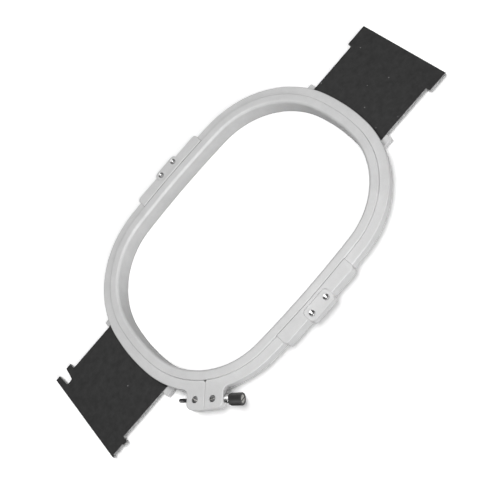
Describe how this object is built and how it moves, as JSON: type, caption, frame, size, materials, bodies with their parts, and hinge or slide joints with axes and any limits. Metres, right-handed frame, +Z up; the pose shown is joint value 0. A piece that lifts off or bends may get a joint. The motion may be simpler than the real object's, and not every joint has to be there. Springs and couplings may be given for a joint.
{
  "type": "machine embroidery hoop",
  "caption": "Oval embroidery machine hoop: an inner ring in a split, screw-clamped outer ring, carried by a notched and a plain flat arm.",
  "frame": {"origin": "centre of the ring, at the level of the inner ring's underside, on which the hoop stands", "axes": "+X from the notched arm to the plain arm, +Y away from the clamp's side, +Z up, out of the hoop's top face"},
  "size_m": [0.4962, 0.263, 0.02],
  "materials": {
    "hoop_plastic": "fine satin, light grey",
    "arm_black": "matt black anodised sheet",
    "bright_metal": "bright turned metal",
    "dark_steel": "oiled dark steel",
    "knob_black": "satin black with straight knurls"
  },
  "bodies": {
    "hoop_frame": {"outer_hoop": "hoop_plastic", "left_arm": "arm_black", "right_arm": "arm_black", "left_arm_screw_1": "dark_steel", "left_arm_screw_2": "dark_steel", "left_arm_screw_3": "dark_steel", "left_arm_screw_4": "dark_steel", "right_arm_screw_1": "dark_steel", "right_arm_screw_2": "dark_steel", "right_arm_screw_3": "dark_steel", "right_arm_screw_4": "dark_steel", "rear_plate": "hoop_plastic", "rear_plate_screw_left": "bright_metal", "rear_plate_screw_right": "bright_metal", "front_plate": "hoop_plastic", "front_plate_screw_left": "bright_metal", "front_plate_screw_right": "bright_metal", "threaded_barrel": "dark_steel", "plain_barrel": "dark_steel"},
    "inner_ring": {"inner_hoop": "hoop_plastic"},
    "clamp_carriage": {"clamp_washer": "dark_steel", "clamp_collar": "bright_metal"},
    "clamp_spindle": {"clamp_screw": "dark_steel", "clamp_knob": "knob_black"}
  },
  "joints": [
    {"name": "inner_ring_lift", "type": "slide", "parent": "hoop_frame", "child": "inner_ring", "axis": [0, 0, 1], "range_m": [0, 0.04]},
    {"name": "clamp_travel", "type": "slide", "parent": "hoop_frame", "child": "clamp_carriage", "axis": [0.6858, -0.7278, 0], "range_m": [0, 0.007]},
    {"name": "clamp_turn", "type": "hinge", "parent": "clamp_carriage", "child": "clamp_spindle", "pos_m": [-0.13774, -0.0982, 0.0125], "axis": [0.6858, -0.7278, 0], "range_deg": [0, 3601]}
  ],
  "couplings": [
    {"joint": "clamp_turn", "follows": "clamp_travel", "rad_per_m": 8976}
  ]
}
